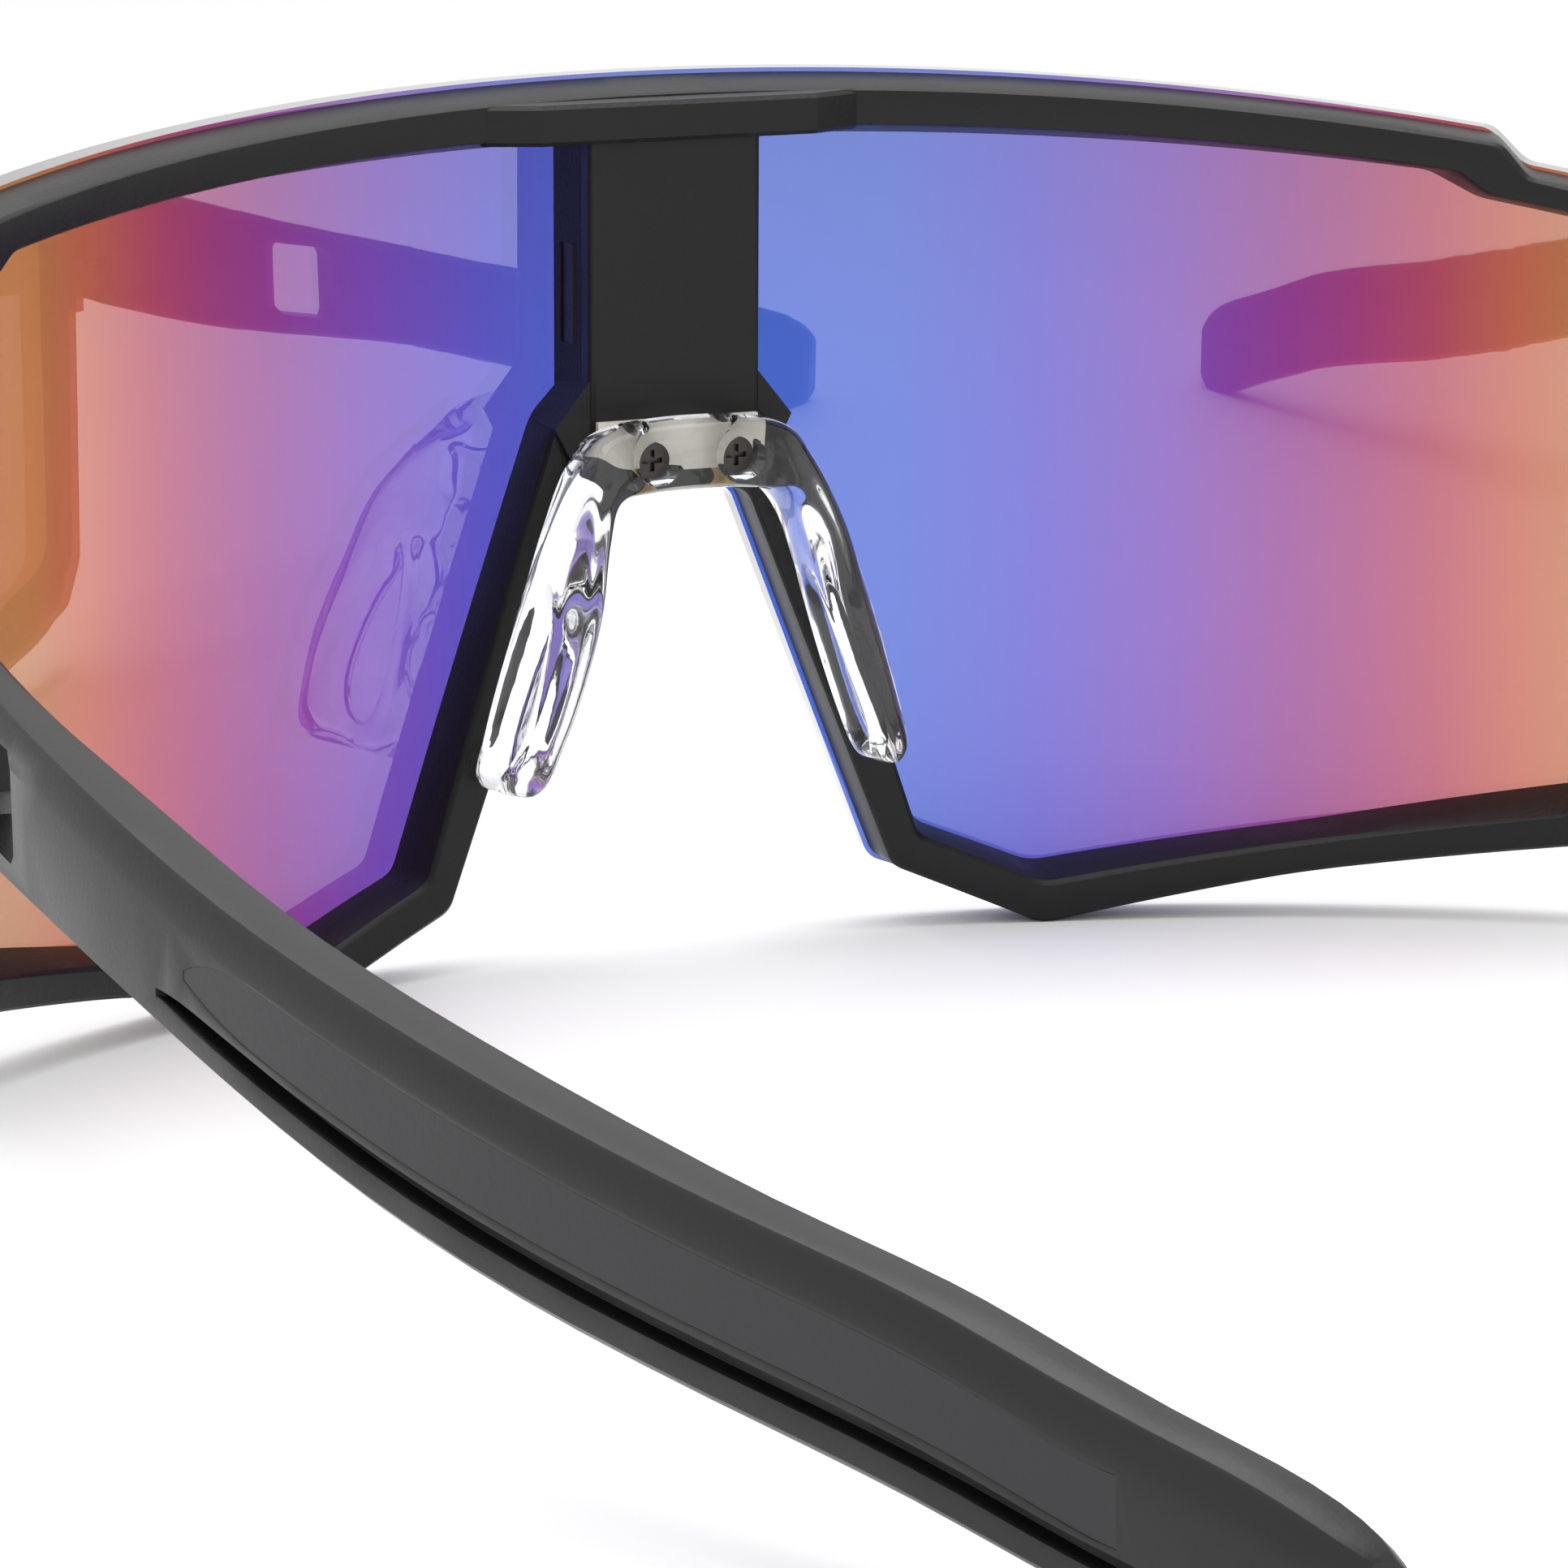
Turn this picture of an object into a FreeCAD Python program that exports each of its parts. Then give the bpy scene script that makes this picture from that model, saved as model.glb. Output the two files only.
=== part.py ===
"""Wraparound sport sunglasses with a one-piece shield lens.

Built in millimetres, +Z up.  The glasses stand open on a flat surface: the two
lower tips of the rim and the two temple ends touch it.  The lens looks along
-Y and the temples run back along +Y.  +X is the wearer's left.

The front (rim, lens, nose pad) is drawn upright about a vertical wrap axis and
then leans back by the angle "lean" about the line through its two lower tips.
"""
import FreeCAD, Part
import math
import os

Vector = FreeCAD.Vector
Rotation = FreeCAD.Rotation
Placement = FreeCAD.Placement

doc = FreeCAD.newDocument("sport_sunglasses")

# ---------------------------------------------------------------- driving sizes
SIZES = [
    ("wrap_radius", 90.0, "radius of the lens front about its upright axis"),
    ("lens_thick", 1.9, "thickness of the shield lens"),
    ("lens_gap", 0.03, "gap between lens and rim"),
    ("rim_depth", 4.1, "depth of the rim behind the lens"),
    ("rim_bevel", 0.35, "bevel along the rear edges of the rim"),
    ("lean", 3.25, "backward lean of the front in degrees"),
    ("tip_back", 10.6, "distance of the lower tips behind the lens apex"),
    ("overall_back", 87.2, "distance of the origin behind the lens apex"),
    ("column_half", 6.4, "half the width of the middle column"),
    ("column_rear", 7.6, "distance of the column's rear face behind the lens apex"),
    ("brow_half", 10.2, "half the width of the thick part of the brow"),
    ("brow_rear", 8.6, "distance of the thick brow's rear face behind the lens apex"),
    ("brow_run", 3.6, "length of the bevel at each end of the thick brow"),
    ("hinge_across", 65.4, "distance of each hinge axis from the middle"),
    ("hinge_back", 40.5, "distance of the hinge axes behind the lens apex"),
    ("hinge_height", 36.2, "height of the middle of the hinges"),
    ("knuckle_radius", 1.9, "outer radius of the hinge knuckles"),
    ("knuckle_outer", 2.2, "height of each frame knuckle"),
    ("knuckle_inner", 3.0, "height of the temple knuckle"),
    ("knuckle_gap", 0.06, "gap between knuckles"),
    ("pin_radius", 0.7, "radius of the hinge screw"),
    ("pin_clearance", 0.05, "radial clearance of the hinge screw"),
    ("temple_outer", 69.5, "distance of the temple's outer face from the middle"),
    ("inlay_gap", 0.02, "gap between each temple and its inlay"),
    ("inlay_depth", 0.7, "depth of the recess for each inlay"),
    ("groove_depth", 1.2, "depth of the long groove in each temple"),
    ("temple_front", 38.75, "distance of the temple's front end behind the lens apex"),
    ("window_long", 9.0, "length of the window in the temple"),
    ("window_tall", 6.2, "height of the window in the temple"),
    ("leaf_thick", 1.0, "thickness of the hinge leaves"),
    ("leaf_front", 34.2, "distance of the frame leaf's front end behind the lens apex"),
    ("leaf_inset", 0.1, "how far each leaf stands off the tangent of its knuckle"),
    ("leaf_relief", 0.2, "how far the frame leaf's fingers stop short of the hinge axis"),
    ("leaf_setback", 0.3, "how far the frame leaf's web stops short of the temple"),
    ("neck_back", 44.0, "distance where the temple leaf's neck widens"),
    ("leaf_end", 51.5, "distance of the temple leaf's rear end behind the lens apex"),
    ("leaf_drop", 1.4, "how far the temple leaf's middle sits below the hinge's middle"),
    ("leaf_spread", 3.1, "half the height of the temple leaf's wide part"),
    ("bore_long", 20.0, "length of the cutters for the hinge bores"),
    ("hinge_head", 1.25, "head radius of the hinge screws"),
    ("hinge_head_tall", 0.8, "head height of the hinge screws"),
    ("hinge_slot_wide", 0.3, "width of the slot in the hinge screws"),
    ("hinge_slot_deep", 0.35, "depth of the slot in the hinge screws"),
    ("window_back", 73.4, "distance of the window's middle behind the lens apex"),
    ("pad_screw_half", 3.15, "half the spacing of the nose pad screws"),
    ("pad_screw_height", 35.9, "height of the nose pad screws"),
    ("pad_front", 8.15, "distance of the pad's front face behind the lens apex"),
    ("pad_rear", 12.3, "distance of the pad bridge's rear face behind the lens apex"),
    ("screw_seat", 10.1, "distance of the pad screw seats behind the lens apex"),
    ("screw_radius", 0.8, "radius of the pad screws"),
    ("screw_head", 1.3, "head radius of the pad screws"),
    ("head_thick", 0.75, "head thickness of the pad screws"),
    ("insert_radius", 1.45, "outer radius of the threaded inserts"),
    ("insert_long", 3.6, "length of the threaded inserts"),
    ("well_radius", 1.55, "radius of the wells over the pad screws"),
    ("insert_slack", 0.02, "radial gap between an insert and its screw"),
    ("tip_clearance", 0.3, "how far a pad screw stops short of its bore's end"),
    ("cross_long", 1.5, "length of each arm of the cross in the pad screws"),
    ("cross_narrow", 0.36, "width of each arm of the cross in the pad screws"),
    ("cross_deep", 0.4, "depth of the cross in the pad screws"),
    ("carrier_long", 12.0, "length of the plate behind the pad's bridge"),
    ("carrier_tall", 3.3, "height of the plate behind the pad's bridge"),
    ("carrier_thick", 0.45, "thickness of the plate behind the pad's bridge"),
    ("carrier_low", 34.95, "height of the carrier plate's lower edge"),
    ("carrier_gap", 0.03, "gap between the column and the carrier plate"),
    ("tab_front", 3.1, "distance of the lens catches' front face behind the lens apex"),
    ("tab_deep", 2.1, "depth of the recess for each lens catch"),
    ("tab_low", 43.3, "height of the lower end of the recess for each lens catch"),
    ("tab_tall", 7.0, "height of the recess for each lens catch"),
    ("tab_sunk", 0.4, "how far each lens catch is let into the column"),
    ("tab_proud", 0.25, "how far each lens catch stands out of the column"),
    ("tab_gap", 0.02, "gap round each lens catch"),
    ("tab_bevel", 0.15, "bevel along the outer edges of each lens catch"),
]
sheet = doc.addObject("Spreadsheet::Sheet", "sizes")
for row, (alias, value, note) in enumerate(SIZES, start=1):
    sheet.set("A%d" % row, alias)
    sheet.set("B%d" % row, str(value))
    sheet.set("C%d" % row, note)
    sheet.setAlias("B%d" % row, alias)
doc.recompute()
size = {alias: float(sheet.get(alias)) for alias, value, note in SIZES}

WRAP = size["wrap_radius"]
RIM_FRONT = WRAP - size["lens_thick"] - size["lens_gap"]
RIM_REAR = RIM_FRONT - size["rim_depth"]
SIDES = [("left", 1), ("right", -1)]

ORIGIN_SHIFT = Vector(0, -size["overall_back"], 0)
LEAN_PIVOT = Vector(0, size["tip_back"], 0)
LEAN = Rotation(Vector(1, 0, 0), -size["lean"])
FRONT_PLACEMENT = Placement(ORIGIN_SHIFT, Rotation()).multiply(
    Placement(Vector(), LEAN, LEAN_PIVOT))
STILL_PLACEMENT = Placement(ORIGIN_SHIFT, Rotation())


def feature(label, shape, placement):
    """Add one finished sub-part made with Part's own functions."""
    made = doc.addObject("Part::Feature", label)
    made.Label = label
    made.Shape = shape
    made.Placement = placement
    return made


def mirrored(shape, side):
    """The shape itself on the wearer's left, its mirror image on the right."""
    return shape if side > 0 else shape.mirror(Vector(), Vector(1, 0, 0))


# ---------------------------------------------------------------- wrapped outlines
def wrapped(radius, angle, height):
    """Point on the upright wrap cylinder: angle in degrees from straight ahead."""
    turn = math.radians(angle)
    return Vector(radius * math.sin(turn), WRAP - radius * math.cos(turn), height)


def stretch(start, end, bowed, count=9):
    """Points (angle, height) from start to end; bowed ones follow a parabola level at the middle."""
    out = []
    for i in range(count):
        part = i / (count - 1)
        angle = start[0] + (end[0] - start[0]) * part
        share = part
        if bowed:
            share = (angle ** 2 - start[0] ** 2) / (end[0] ** 2 - start[0] ** 2)
        out.append((angle, start[1] + (end[1] - start[1]) * share))
    return out


def toward(start, end, distance, radius):
    """The point at a distance in mm from start on the way to end, both (angle, height)."""
    arc = math.radians(end[0] - start[0]) * radius
    share = distance / math.hypot(arc, end[1] - start[1])
    return (start[0] + (end[0] - start[0]) * share, start[1] + (end[1] - start[1]) * share)


def rounded_loop(corners, radius):
    """Lists of (angle, height) points, one per edge of a closed loop with softened corners.

    corners holds (point, softening, bowed) with the softening in mm along each side,
    and bowed true where the edge that leaves this corner is the brow's parabola.
    """
    count = len(corners)
    before = []
    after = []
    for i in range(count):
        point, soft, bowed = corners[i]
        last = corners[i - 1][0]
        following = corners[(i + 1) % count][0]
        before.append(toward(point, last, soft, radius) if soft else point)
        after.append(toward(point, following, soft, radius) if soft else point)
    edges = []
    for i in range(count):
        point, soft, bowed = corners[i]
        if soft:
            a, b = before[i], after[i]
            bend = []
            for step in range(5):
                t = step / 4
                bend.append(tuple(a[k] * (1 - t) ** 2 + 2 * point[k] * t * (1 - t) + b[k] * t ** 2
                                  for k in (0, 1)))
            edges.append(bend)
        edges.append(stretch(after[i], before[(i + 1) % count], bowed))
    return edges


def curve_edges(edges, radius):
    """The loop's edges as splines on the cylinder of that radius."""
    made = []
    for points in edges:
        spline = Part.BSplineCurve()
        spline.interpolate([wrapped(radius, angle, height) for angle, height in points])
        made.append(spline.toShape())
    return made


# Stations round one half of the rim, from the top of the middle column outward and
# back under the aperture.  Each row: outer edge at the front and at the rear, aperture
# edge at the front and at the rear, as (angle, height), then corner softening and bow.
STATIONS = [
    ((0.0, 61.35), (0.0, 60.60), (4.50, 57.05), (4.37, 57.95), 0.0, True),
    ((39.7, 57.15), (40.4, 56.85), (36.6, 54.35), (38.2, 54.75), 0.7, False),
    ((41.2, 54.75), (41.8, 54.50), (39.0, 52.50), (39.8, 53.15), 0.7, False),
    ((47.6, 53.10), (47.6, 52.90), (45.6, 50.80), (45.5, 51.80), 1.0, False),
    ((50.0, 50.60), (50.0, 50.40), (46.6, 49.40), (46.4, 49.90), 1.0, False),
    ((50.0, 11.20), (50.0, 10.90), (46.6, 12.80), (46.4, 11.60), 1.2, False),
    ((47.6, 7.90), (47.4, 7.60), (45.2, 11.10), (45.0, 9.50), 1.2, False),
    ((31.6, 3.90), (31.6, 3.85), (31.5, 6.77), (31.6, 6.18), 3.0, False),
    ((19.1, 0.02), (19.1, -0.14), (18.7, 3.63), (19.1, 2.92), 1.0, False),
    ((11.2, 4.50), (11.6, 4.52), (13.2, 6.90), (12.9, 6.75), 0.8, False),
    ((4.3, 32.2), (4.2, 32.4), (5.75, 38.2), (5.75, 38.5), 0.9, False),
    ((0.0, 33.6), (0.0, 33.8), (4.50, 40.1), (4.37, 40.4), 0.0, False),
]


def half_rim():
    """One half of the rim: a closed band round the aperture, split at the middle plane."""
    bevel = size["rim_bevel"]
    radii = [RIM_FRONT, RIM_REAR + bevel, RIM_REAR, RIM_REAR, RIM_REAR + bevel, RIM_FRONT]
    loops = []
    for ring in range(6):
        corners = []
        for outer_front, outer_rear, hole_front, hole_rear, soft, bowed in STATIONS:
            at_rear = [outer_front, outer_rear, toward(outer_rear, hole_rear, bevel, RIM_REAR),
                       toward(hole_rear, outer_rear, bevel, RIM_REAR), hole_rear, hole_front]
            point = at_rear[ring]
            if outer_front[0] == 0.0 and ring in (1, 2):
                point = (0.0, point[1])
            corners.append((point, soft, bowed))
        loops.append(curve_edges(rounded_loop(corners, radii[ring]), radii[ring]))
    faces = []
    for ring in range(6):
        for first, second in zip(loops[ring], loops[(ring + 1) % 6]):
            faces.append(Part.makeRuledSurface(first, second))
    shell = Part.makeShell(faces)
    shell.sewShape()
    solid = Part.makeSolid(shell)
    if solid.Volume < 0:
        solid.reverse()
    return solid


def prism_xy(points, low, high):
    """A solid with that plan outline between two heights."""
    wire = Part.makePolygon([Vector(x, y, low) for x, y in points + points[:1]])
    return Part.Face(wire).extrude(Vector(0, 0, high - low))


def prism_xz(points, front, back):
    """A solid with that front-view outline between two depths."""
    wire = Part.makePolygon([Vector(x, front, z) for x, z in points + points[:1]])
    return Part.Face(wire).extrude(Vector(0, back - front, 0))


def cylinder_y(radius, length, x, y, z):
    """A cylinder along Y from the point (x, y, z) backward."""
    return Part.makeCylinder(radius, length, Vector(x, y, z), Vector(0, 1, 0))


def middle_block():
    """The middle column, the thick brow above it and the bridge that carries the nose pad."""
    half = size["column_half"]
    front = 3.0
    top, foot = 59.0, 36.0
    column = prism_xz([(-half, foot), (half, foot), (half, top), (-half, top)],
                      front, size["column_rear"])
    edges = [e for e in column.Edges
             if abs(e.BoundBox.ZLength - (top - foot)) < 0.01
             and e.BoundBox.YMin > size["column_rear"] - 0.01]
    column = column.makeFillet(0.5, edges)

    wide = size["brow_half"]
    run = size["brow_run"]
    plan = [(-wide - run, 6.0), (-wide - run, 7.2), (-wide, size["brow_rear"]),
            (wide, size["brow_rear"]), (wide + run, 7.2), (wide + run, 6.0)]
    brow = prism_xy(plan, 57.55, 60.35)
    edges = [e for e in brow.Edges
             if e.BoundBox.ZLength < 0.01 and e.BoundBox.YMin > 7.1]
    brow = brow.makeChamfer(0.3, edges)

    bridge = prism_xz([(-8.9, 37.9), (-6.4, 41.0), (6.4, 41.0), (8.9, 37.9),
                       (6.3, 32.8), (0.0, 34.3), (-6.3, 32.8)], front, 7.35)
    return column.fuse([brow, bridge])


def endpiece():
    """The left end of the rim behind the lens, cut square where the temple meets it."""
    outer = size["temple_outer"]
    face = size["temple_front"] - 0.25
    low = size["hinge_height"] - 5.3
    high = size["hinge_height"] + 5.3
    plan = [(61.6, 34.55), (67.0, 35.95), (outer - 0.4, 36.85), (outer, 37.4), (outer, face),
            (62.6, face)]
    block = prism_xy(plan, low, high)
    upright = [e for e in block.Edges if e.BoundBox.ZLength > 5
               and e.BoundBox.XMin > outer - 0.5]
    return block.makeFillet(0.3, upright)


def hinge_half_height():
    """Half the height of the three stacked knuckles."""
    return size["knuckle_inner"] / 2 + size["knuckle_gap"] + size["knuckle_outer"]


def plate(across, back, low, high):
    """An upright box given by its spans across, backward and in height."""
    return Part.makeBox(across[1] - across[0], back[1] - back[0], high - low,
                        Vector(across[0], back[0], low))


# ---------------------------------------------------------------- frame
LEAF_FACE = size["hinge_across"] - size["knuckle_radius"] - size["leaf_inset"]
LEAF_SPAN = (LEAF_FACE, LEAF_FACE + size["leaf_thick"])


def frame_shape():
    """Rim, column and endpieces as the one moulding they are, with its bores and recesses."""
    half = half_rim()
    upright = half.fuse([half.mirror(Vector(), Vector(1, 0, 0)), middle_block()])
    for name, side in SIDES:
        x = side * size["pad_screw_half"]
        z = size["pad_screw_height"]
        depth = size["insert_long"] + 1.0
        bore = cylinder_y(size["insert_radius"] + 0.02, depth, x,
                          size["column_rear"] - size["insert_long"], z)
        sunk = size["tab_sunk"]
        recess = Part.makeBox(2 * sunk, size["tab_deep"], size["tab_tall"],
                              Vector(side * size["column_half"] - sunk, size["tab_front"],
                                     size["tab_low"]))
        upright = upright.cut([bore, recess])
    upright.Placement = Placement(Vector(), LEAN, LEAN_PIVOT)
    solid = upright
    half_height = hinge_half_height() + 0.03
    pocket = plate((LEAF_SPAN[0] - 0.03, LEAF_SPAN[1] + 0.03), (size["leaf_front"] - 0.03, 40.0),
                   size["hinge_height"] - half_height, size["hinge_height"] + half_height)
    for name, side in SIDES:
        solid = solid.fuse(mirrored(endpiece(), side))
    for name, side in SIDES:
        solid = solid.cut(mirrored(pocket, side))
    return solid.removeSplitter()


# ---------------------------------------------------------------- lens
LENS_CORNERS = [
    ((0.0, 61.65), 0.0, True),
    ((39.4, 57.45), 0.8, False),
    ((41.0, 55.00), 0.8, False),
    ((47.8, 53.35), 1.2, False),
    ((50.2, 50.80), 1.2, False),
    ((50.2, 11.00), 1.4, False),
    ((47.7, 7.65), 1.4, False),
    ((31.6, 3.65), 3.0, False),
    ((19.1, -0.20), 1.0, False),
    ((11.0, 4.35), 0.8, False),
    ((4.15, 32.00), 0.9, False),
    ((0.0, 33.35), 0.0, False),
]


def lens_prism_wire(back):
    """Half of the lens outline, seen from the wrap axis, drawn on the plane at that depth."""
    wires = []
    for points in rounded_loop(LENS_CORNERS, WRAP):
        spline = Part.BSplineCurve()
        spline.interpolate([Vector((WRAP - back) * math.tan(math.radians(angle)), back, height)
                            for angle, height in points])
        wires.append(spline.toShape())
    return Part.Wire(wires)


def lens_shape():
    """A shell about the wrap axis, trimmed to the outline by walls that point at the axis."""
    low, high = -2.0, 64.0
    centre = Vector(0, WRAP, low)
    shell = Part.makeCylinder(WRAP, high - low, centre).cut(
        Part.makeCylinder(WRAP - size["lens_thick"], high - low, centre))
    trim = Part.makeLoft([lens_prism_wire(-4.0), lens_prism_wire(45.0)], True, True)
    half = shell.common(trim)
    whole = half.fuse(half.mirror(Vector(), Vector(1, 0, 0))).removeSplitter()
    return whole.Solids[0]


# ---------------------------------------------------------------- nose pad
# Height, then the arm's inner and outer edge in front and its inner and outer edge behind.
PAD_ARM = [
    (12.9, 13.6, 15.3, 13.3, 14.6),
    (13.9, 12.5, 16.0, 12.7, 15.0),
    (18.0, 11.1, 14.9, 11.6, 13.9),
    (22.0, 9.7, 13.8, 9.6, 12.5),
    (29.0, 7.5, 11.6, 7.9, 10.3),
    (36.0, 5.2, 9.0, 5.6, 8.2),
]


def pad_arm():
    """The left arm of the nose pad, through one four-sided section at each height."""
    wires = []
    for height, front_in, front_out, rear_in, rear_out in PAD_ARM:
        rear = 15.6 if height < 30 else size["pad_rear"]
        front = size["pad_front"]
        points = [(front_in, front), (front_out, front), (rear_out, rear), (rear_in, rear)]
        wires.append(Part.makePolygon([Vector(x, y, height) for x, y in points + points[:1]]))
    return Part.makeLoft(wires, True, True)


def pad_shape():
    """Clear nose pad: a bridge screwed to the column and two arms that follow the nose."""
    bridge = prism_xz([(-5.9, 38.8), (5.9, 38.8), (7.0, 37.6), (8.6, 35.6), (5.8, 33.8),
                       (3.0, 33.3), (-3.0, 33.3), (-5.8, 33.8), (-8.6, 35.6), (-7.0, 37.6)],
                      size["pad_front"], size["pad_rear"])
    solid = bridge.fuse([pad_arm(), mirrored(pad_arm(), -1)])
    for name, side in SIDES:
        x = side * size["pad_screw_half"]
        z = size["pad_screw_height"]
        hole = cylinder_y(size["screw_radius"] + 0.1, 8.0, x, 5.0, z)
        well = cylinder_y(size["well_radius"], 5.0, x, size["screw_seat"], z)
        solid = solid.cut([hole, well])
    return solid.removeSplitter()


# ---------------------------------------------------------------- temples
# Distance back, middle height, height and thickness of the left temple's section.
TEMPLE = [
    (38.75, 36.6, 10.6, 3.4),
    (46.0, 35.0, 10.6, 3.4),
    (60.0, 31.75, 10.5, 3.4),
    (72.0, 29.0, 9.7, 3.5),
    (88.0, 25.4, 8.9, 4.3),
    (102.0, 21.5, 9.0, 4.4),
    (116.0, 17.8, 9.7, 4.5),
    (130.0, 14.6, 9.8, 4.6),
    (144.0, 11.7, 9.6, 4.3),
    (150.0, 10.4, 9.6, 4.3),
    (157.0, 8.25, 9.3, 4.2),
    (163.0, 6.3, 9.2, 4.1),
    (168.0, 4.7, 9.0, 4.0),
    (171.0, 3.75, 8.0, 3.7),
    (172.5, 3.6, 6.0, 3.0),
]


def smooth_row(column):
    """Spline that gives one column of TEMPLE at any distance back."""
    curve = Part.BSplineCurve()
    curve.interpolate(Points=[Vector(row[0], row[column], 0) for row in TEMPLE],
                      Parameters=[row[0] for row in TEMPLE])
    return curve


TEMPLE_CURVES = [smooth_row(column) for column in (1, 2, 3)]
TEMPLE_STEP = 6.0


def section_at(back):
    """Middle height, height and thickness of the temple at any distance back."""
    inside = min(max(back, TEMPLE[0][0]), TEMPLE[-1][0])
    return [curve.value(inside).y for curve in TEMPLE_CURVES]


def stations(start, end):
    """Evenly spaced distances back from start to end."""
    count = max(1, round((end - start) / TEMPLE_STEP))
    return [start + (end - start) * i / count for i in range(count + 1)]


def temple_middle(back):
    """Distance of the temple's middle line from the centre plane, bending in behind 60 mm."""
    bend_start, bend_rate = 60.0, 0.0025
    return 67.75 - bend_rate * max(0.0, back - bend_start) ** 2


def temple_loft(sections):
    """A smooth solid through closed outlines (across, height), one at each distance back."""
    wires = []
    for back, points in sections:
        wires.append(Part.makePolygon([Vector(x, back, z) for x, z in points + points[:1]]))
    return Part.makeLoft(wires, True, False)


def temple_blank():
    """The left temple before its cuts, bevelled along its four long edges."""
    sections = []
    front, rear = TEMPLE[0][0], TEMPLE[-1][0]
    for back in stations(front, rear - 3.2) + [rear - 1.2, rear]:
        middle, tall, thick = section_at(back)
        x = temple_middle(back)
        half, rise = thick / 2, tall / 2
        out, bevel, inner = 0.55, 1.1, 0.7
        if back == rear:
            out, bevel, inner = 0.8, 1.4, 0.8
        sections.append((back, [
            (x - half, middle - rise + inner), (x - half + inner, middle - rise),
            (x + half - out, middle - rise), (x + half, middle - rise + out),
            (x + half, middle + rise - 2 * bevel), (x + half - out, middle + rise - bevel / 3),
            (x + half - out - 0.3, middle + rise), (x - half + inner, middle + rise),
            (x - half, middle + rise - inner)]))
    return temple_loft(sections)


def temple_band(start, end, low_share, high_share, depth, slack, nose):
    """Solid that covers a band of the left temple's outer face, pointed over its first stretch.

    low_share and high_share place the band between the temple's bottom (0) and top (1);
    depth is how far it reaches into the face, and slack shrinks it all round.
    """
    sections = []
    for i, back in enumerate([start] + stations(start + nose, end)):
        middle, tall, thick = section_at(back)
        x = temple_middle(back) + thick / 2
        low = middle + (low_share - 0.5) * tall + slack
        high = middle + (high_share - 0.5) * tall - slack
        if i == 0:
            centre = (low * 2 + high) / 3
            low, high = centre - 0.25 + slack, centre + 0.25 - slack
        reach = 1.0 if slack == 0 else -0.04
        sections.append((back, [(x - depth + slack, low), (x + reach, low),
                                (x + reach, high), (x - depth + slack, high)]))
    return temple_loft(sections)


INLAY_BAND = dict(start=99.0, end=162.0, low_share=0.36, high_share=0.74)


def temple_shape():
    """The left temple with its window, groove, inlay recess and hinge clearance."""
    solid = temple_blank()
    middle, tall, thick = section_at(size["window_back"])
    lengthwise = size["window_long"] / 2
    upright = size["window_tall"] / 2
    slope = 0.2
    outline = []
    for dy, dz in ((-1, -0.75), (-0.72, -1), (0.9, -1), (1, -0.8), (1, 0.75), (0.8, 1),
                   (-0.9, 1), (-1, 0.8)):
        outline.append(Vector(60, size["window_back"] + dy * lengthwise,
                              middle + dz * upright - dy * lengthwise * slope))
    window = Part.Face(Part.makePolygon(outline + outline[:1])).extrude(Vector(15, 0, 0))
    groove = temple_band(96.0, 166.0, 0.19, 0.31, size["groove_depth"], 0.0, 5.0)
    recess = temple_band(depth=size["inlay_depth"], slack=0.0, nose=9.0, **INLAY_BAND)
    hinge = Part.makeCylinder(size["knuckle_radius"] + 0.25, size["bore_long"],
                              Vector(size["hinge_across"], size["hinge_back"], 27.0))
    leaf_middle = size["hinge_height"] - size["leaf_drop"]
    gap = 0.03
    reach = size["leaf_spread"] + gap
    leaf_outer = size["hinge_across"] - size["leaf_inset"] + size["leaf_thick"]
    pocket = plate((60.0, leaf_outer + gap), (size["hinge_back"], size["leaf_end"] + gap),
                   leaf_middle - reach, leaf_middle + reach)
    table = plate((0.0, 90.0), (100.0, 180.0), -5.0, 0.0)
    solid = solid.cut([window, groove, recess, hinge, pocket, table])
    return solid.Solids[0] if len(solid.Solids) == 1 else solid


# ---------------------------------------------------------------- hardware
def rule(text, side=1):
    """An expression on the sheet: words are its aliases, SIDE is +1 on the wearer's left."""
    words = []
    for word in text.replace("SIDE", str(side)).split():
        words.append("sizes." + word if word in size else word)
    return " ".join(words)


def primitive(kind, label, side, sizes, place, lying=False):
    """A Part primitive that follows the sheet; a lying cylinder points along Y."""
    made = doc.addObject("Part::" + kind, label)
    if lying:
        made.Placement = Placement(Vector(), Rotation(Vector(1, 0, 0), -90))
    for name, text in sizes.items():
        made.setExpression(name, rule(text, side))
    for axis, text in zip("xyz", place):
        made.setExpression("Placement.Base." + axis, rule(text, side))
    return made


def union(label, members):
    """The members as one solid."""
    made = doc.addObject("Part::MultiFuse", label)
    made.Shapes = members
    made.Refine = True
    return made


def difference(label, base, tool, placement):
    """The base without the tool, set in its place."""
    made = doc.addObject("Part::Cut", label)
    made.Base = base
    made.Tool = tool
    made.Refine = True
    made.Placement = placement
    made.Label = label
    return made


PAD_X = "SIDE * pad_screw_half"
HINGE_X = "SIDE * hinge_across"
FRAME_LEAF_X = ("SIDE * ( hinge_across - knuckle_radius - leaf_inset + leaf_thick / 2 )"
                " - leaf_thick / 2")
TEMPLE_LEAF_X = "SIDE * ( hinge_across - leaf_inset + leaf_thick / 2 ) - leaf_thick / 2"
HINGE_REACH = "( knuckle_inner / 2 + knuckle_gap + knuckle_outer )"


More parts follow.
